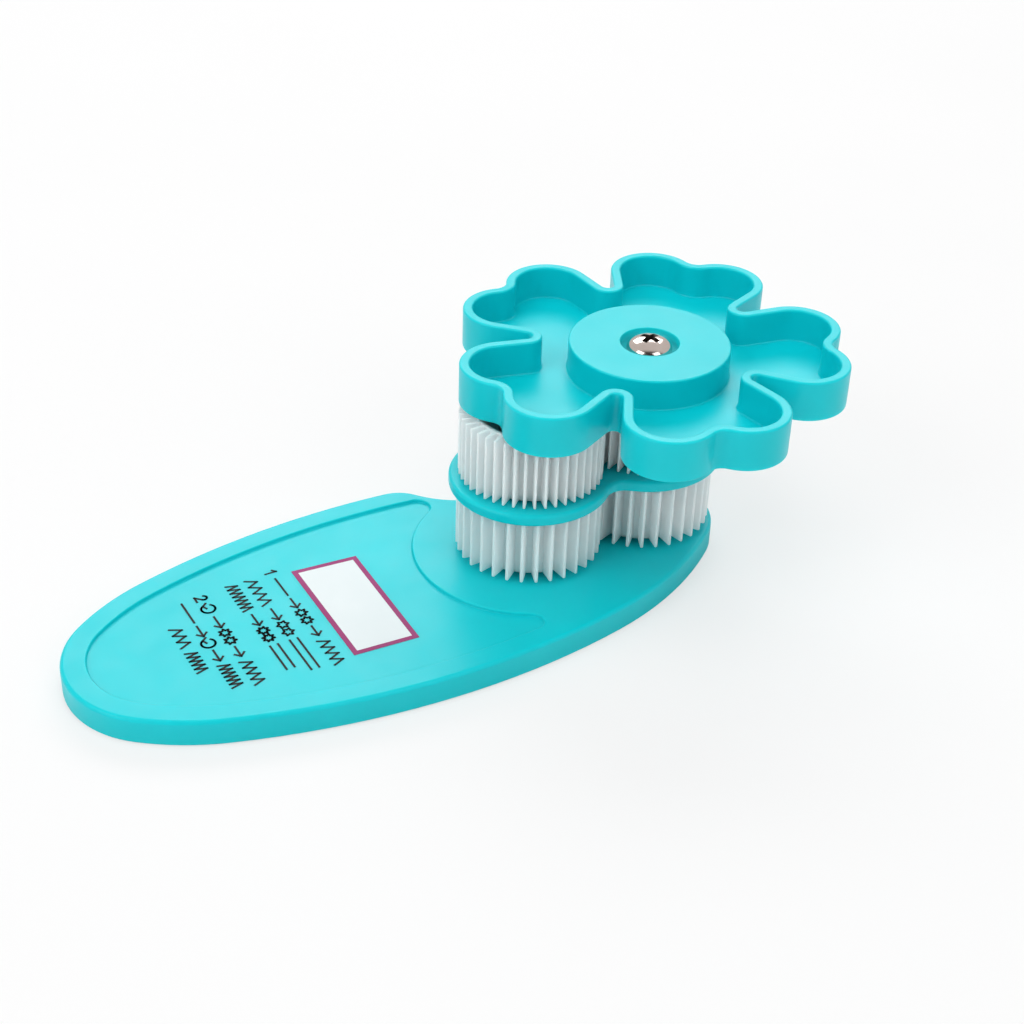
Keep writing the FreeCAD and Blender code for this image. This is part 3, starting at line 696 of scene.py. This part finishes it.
def camera():
    """Stands where the photograph was taken from."""
    azimuth, roll = math.radians(CAMERA_AZIMUTH), math.radians(CAMERA_ROLL)
    back = toward(CAMERA_AZIMUTH, CAMERA_ELEVATION)
    right = Vector((math.cos(azimuth), math.sin(azimuth), 0))
    up = back.cross(right)
    right, up = (right * math.cos(roll) + up * math.sin(roll), up * math.cos(roll) - right * math.sin(roll))
    eye = bpy.data.objects.new("camera", bpy.data.cameras.new("camera"))
    turned = Matrix((right, up, back)).transposed().to_4x4()
    eye.matrix_world = Matrix.Translation(Vector(CAMERA_PLACE) * MM) @ turned
    eye.data.sensor_width = SENSOR_WIDTH
    eye.data.lens = FOCAL_LENGTH
    eye.data.clip_start = CLIP_START
    bpy.context.scene.collection.objects.link(eye)
    bpy.context.scene.camera = eye


def softbox(name, azimuth, elevation, width, height, radiance, mirrored):
    """Area lamp that looks at the object."""
    data = bpy.data.lights.new(name, "AREA")
    data.shape = "RECTANGLE"
    data.size = width
    data.size_y = height
    data.energy = radiance * math.pi * width * height
    lamp = bpy.data.objects.new(name, data)
    back = toward(azimuth, elevation)
    lamp.location = Vector(SOFTBOX_AIM) + back * SOFTBOX_DISTANCE
    lamp.rotation_euler = back.to_track_quat("Z", "Y").to_euler()
    lamp.visible_glossy = mirrored
    bpy.context.scene.collection.objects.link(lamp)


def surroundings():
    """Even light on the object; in reflections a pale room that is dark where the front is open."""
    world = bpy.data.worlds.new("studio")
    world.use_nodes = True
    nodes, links = world.node_tree.nodes, world.node_tree.links
    background = [n for n in nodes if n.type == "BACKGROUND"][0]
    place = nodes.new("ShaderNodeTexCoord")
    forward = nodes.new("ShaderNodeVectorMath")
    forward.operation = "DOT_PRODUCT"
    forward.inputs[1].default_value = FRONT
    links.new(place.outputs["Generated"], forward.inputs[0])
    room = ramp(nodes, links, forward.outputs["Value"], ROOM_BEHIND, ROOM_IN_FRONT, ROOM_SPAN)
    path = nodes.new("ShaderNodeLightPath")
    mirrored = nodes.new("ShaderNodeMath")
    mirrored.operation = "MAXIMUM"
    links.new(path.outputs["Is Glossy Ray"], mirrored.inputs[0])
    links.new(path.outputs["Is Transmission Ray"], mirrored.inputs[1])
    light = nodes.new("ShaderNodeMix")
    light.data_type = "RGBA"
    light.inputs["A"].default_value = (*AMBIENT, 1)
    links.new(mirrored.outputs[0], light.inputs["Factor"])
    links.new(room, light.inputs["B"])
    seen = nodes.new("ShaderNodeMix")
    seen.data_type = "RGBA"
    links.new(path.outputs["Is Camera Ray"], seen.inputs["Factor"])
    links.new(light.outputs["Result"], seen.inputs["A"])
    seen.inputs["B"].default_value = (*FLOOR_WHITE, 1)
    links.new(seen.outputs["Result"], background.inputs["Color"])
    bpy.context.scene.world = world


def floor():
    """Pale paper that glows a little for the camera, so that it runs into the white background."""
    bm = bmesh.new()
    bm.faces.new([bm.verts.new((x * FLOOR_HALF, y * FLOOR_HALF, 0)) for x, y in SQUARE])
    ground = new_object("floor", bm)
    material, nodes, links, shader = new_material("floor_paper")
    place = nodes.new("ShaderNodeTexCoord")
    cloud = noise(nodes, links, place, scale=12.0, detail=2.0)
    links.new(ramp(nodes, links, cloud, *FLOOR_PAPER), shader.inputs["Base Color"])
    shader.inputs["Roughness"].default_value = 0.9
    shader.inputs["Specular IOR Level"].default_value = 0.1
    glow = nodes.new("ShaderNodeEmission")
    glow.inputs["Color"].default_value = (*FLOOR_WHITE, 1)
    path = nodes.new("ShaderNodeLightPath")
    share = nodes.new("ShaderNodeMath")
    share.operation = "MULTIPLY"
    share.inputs[1].default_value = FLOOR_GLOW
    links.new(path.outputs["Is Camera Ray"], share.inputs[0])
    blend = nodes.new("ShaderNodeMixShader")
    links.new(share.outputs[0], blend.inputs["Fac"])
    links.new(shader.outputs["BSDF"], blend.inputs[1])
    links.new(glow.outputs["Emission"], blend.inputs[2])
    output = [n for n in nodes if n.type == "OUTPUT_MATERIAL"][0]
    links.new(blend.outputs["Shader"], output.inputs["Surface"])
    paint(material, ground)


# The scene

camera()
surroundings()
floor()
for row in SOFTBOXES:
    softbox(*row)

teal = moulded("teal_plastic", (0.0, 0.575, 0.635), (0.002, 0.605, 0.665), (0.32, 0.40), 0.25,
               subsurface=0.5, depth=2.0 * MM, specular=0.26, tint=(0.4, 1.0, 1.0))
paint(teal, base_plate(), lead_plate(), petal_knob())

nylon = moulded("white_nylon", (0.93, 0.96, 0.965), (0.95, 0.975, 0.98), (0.38, 0.50), 0.15,
                subsurface=0.8, depth=1.5 * MM, specular=0.35)
paint(nylon, *[crimp_roller(*row) for row in ROLLERS])

nickel = metal("screw_nickel", (0.70, 0.64, 0.61), (0.78, 0.73, 0.70), (0.10, 0.18), 0.05)
# Dark metal for the faces of the cross recess: painted shade where the recess lies in shadow.
recess_shade_metal = metal("recess_nickel_painted_shade", (0.10, 0.08, 0.075), (0.14, 0.11, 0.10), (0.35, 0.50), 0.05)
screw_metal_and_recess_shade = (nickel, recess_shade_metal)
domed_screw("knob_screw", "knob_screw_domed", "knob_drive", math.radians(20), 0.85, screw_metal_and_recess_shade)
domed_screw("idler_screw", "idler_screw_domed", "base", math.radians(55), 1.0, screw_metal_and_recess_shade)

border_ink = moulded("label_border_ink", (0.29, 0.03, 0.14), (0.33, 0.04, 0.17), (0.40, 0.50), 0.2,
                     specular=0.15)
label_white = moulded("label_white_ink", (0.70, 0.76, 0.77), (0.74, 0.79, 0.80), (0.40, 0.50), 0.2,
                      specular=0.2)
ink = moulded("black_ink", (0.008, 0.010, 0.010), (0.016, 0.018, 0.018), (0.45, 0.60), 0.2,
              specular=0.15)
border_piece, face_piece = label()
paint(border_ink, border_piece)
paint(label_white, face_piece)
paint(ink, printed_signs())

nodes = frame["nodes"]
bearing = moulded("bearing_nylon", (0.70, 0.70, 0.66), (0.76, 0.76, 0.72), (0.45, 0.55), 0.3,
                  subsurface=0.2, depth=0.8 * MM)
steel = metal("axle_steel", (0.50, 0.50, 0.52), (0.60, 0.60, 0.62), (0.26, 0.38), 0.4)
rubber = moulded("foot_rubber", (0.022, 0.024, 0.026), (0.032, 0.034, 0.036), (0.70, 0.85), 0.6)
paint(bearing, nodes["drive_bush"], nodes["idler_thrust_washer"], nodes["drive_thrust_washer"])
paint(steel, nodes["idler_axle"], nodes["idler_sleeve"], nodes["idler_washer"], nodes["drive_shaft"],
      nodes["drive_clip"])
paint(rubber, *[nodes["foot_pad_%d" % k] for k in range(1, 7)])

bpy.context.scene.view_settings.view_transform = "Standard"
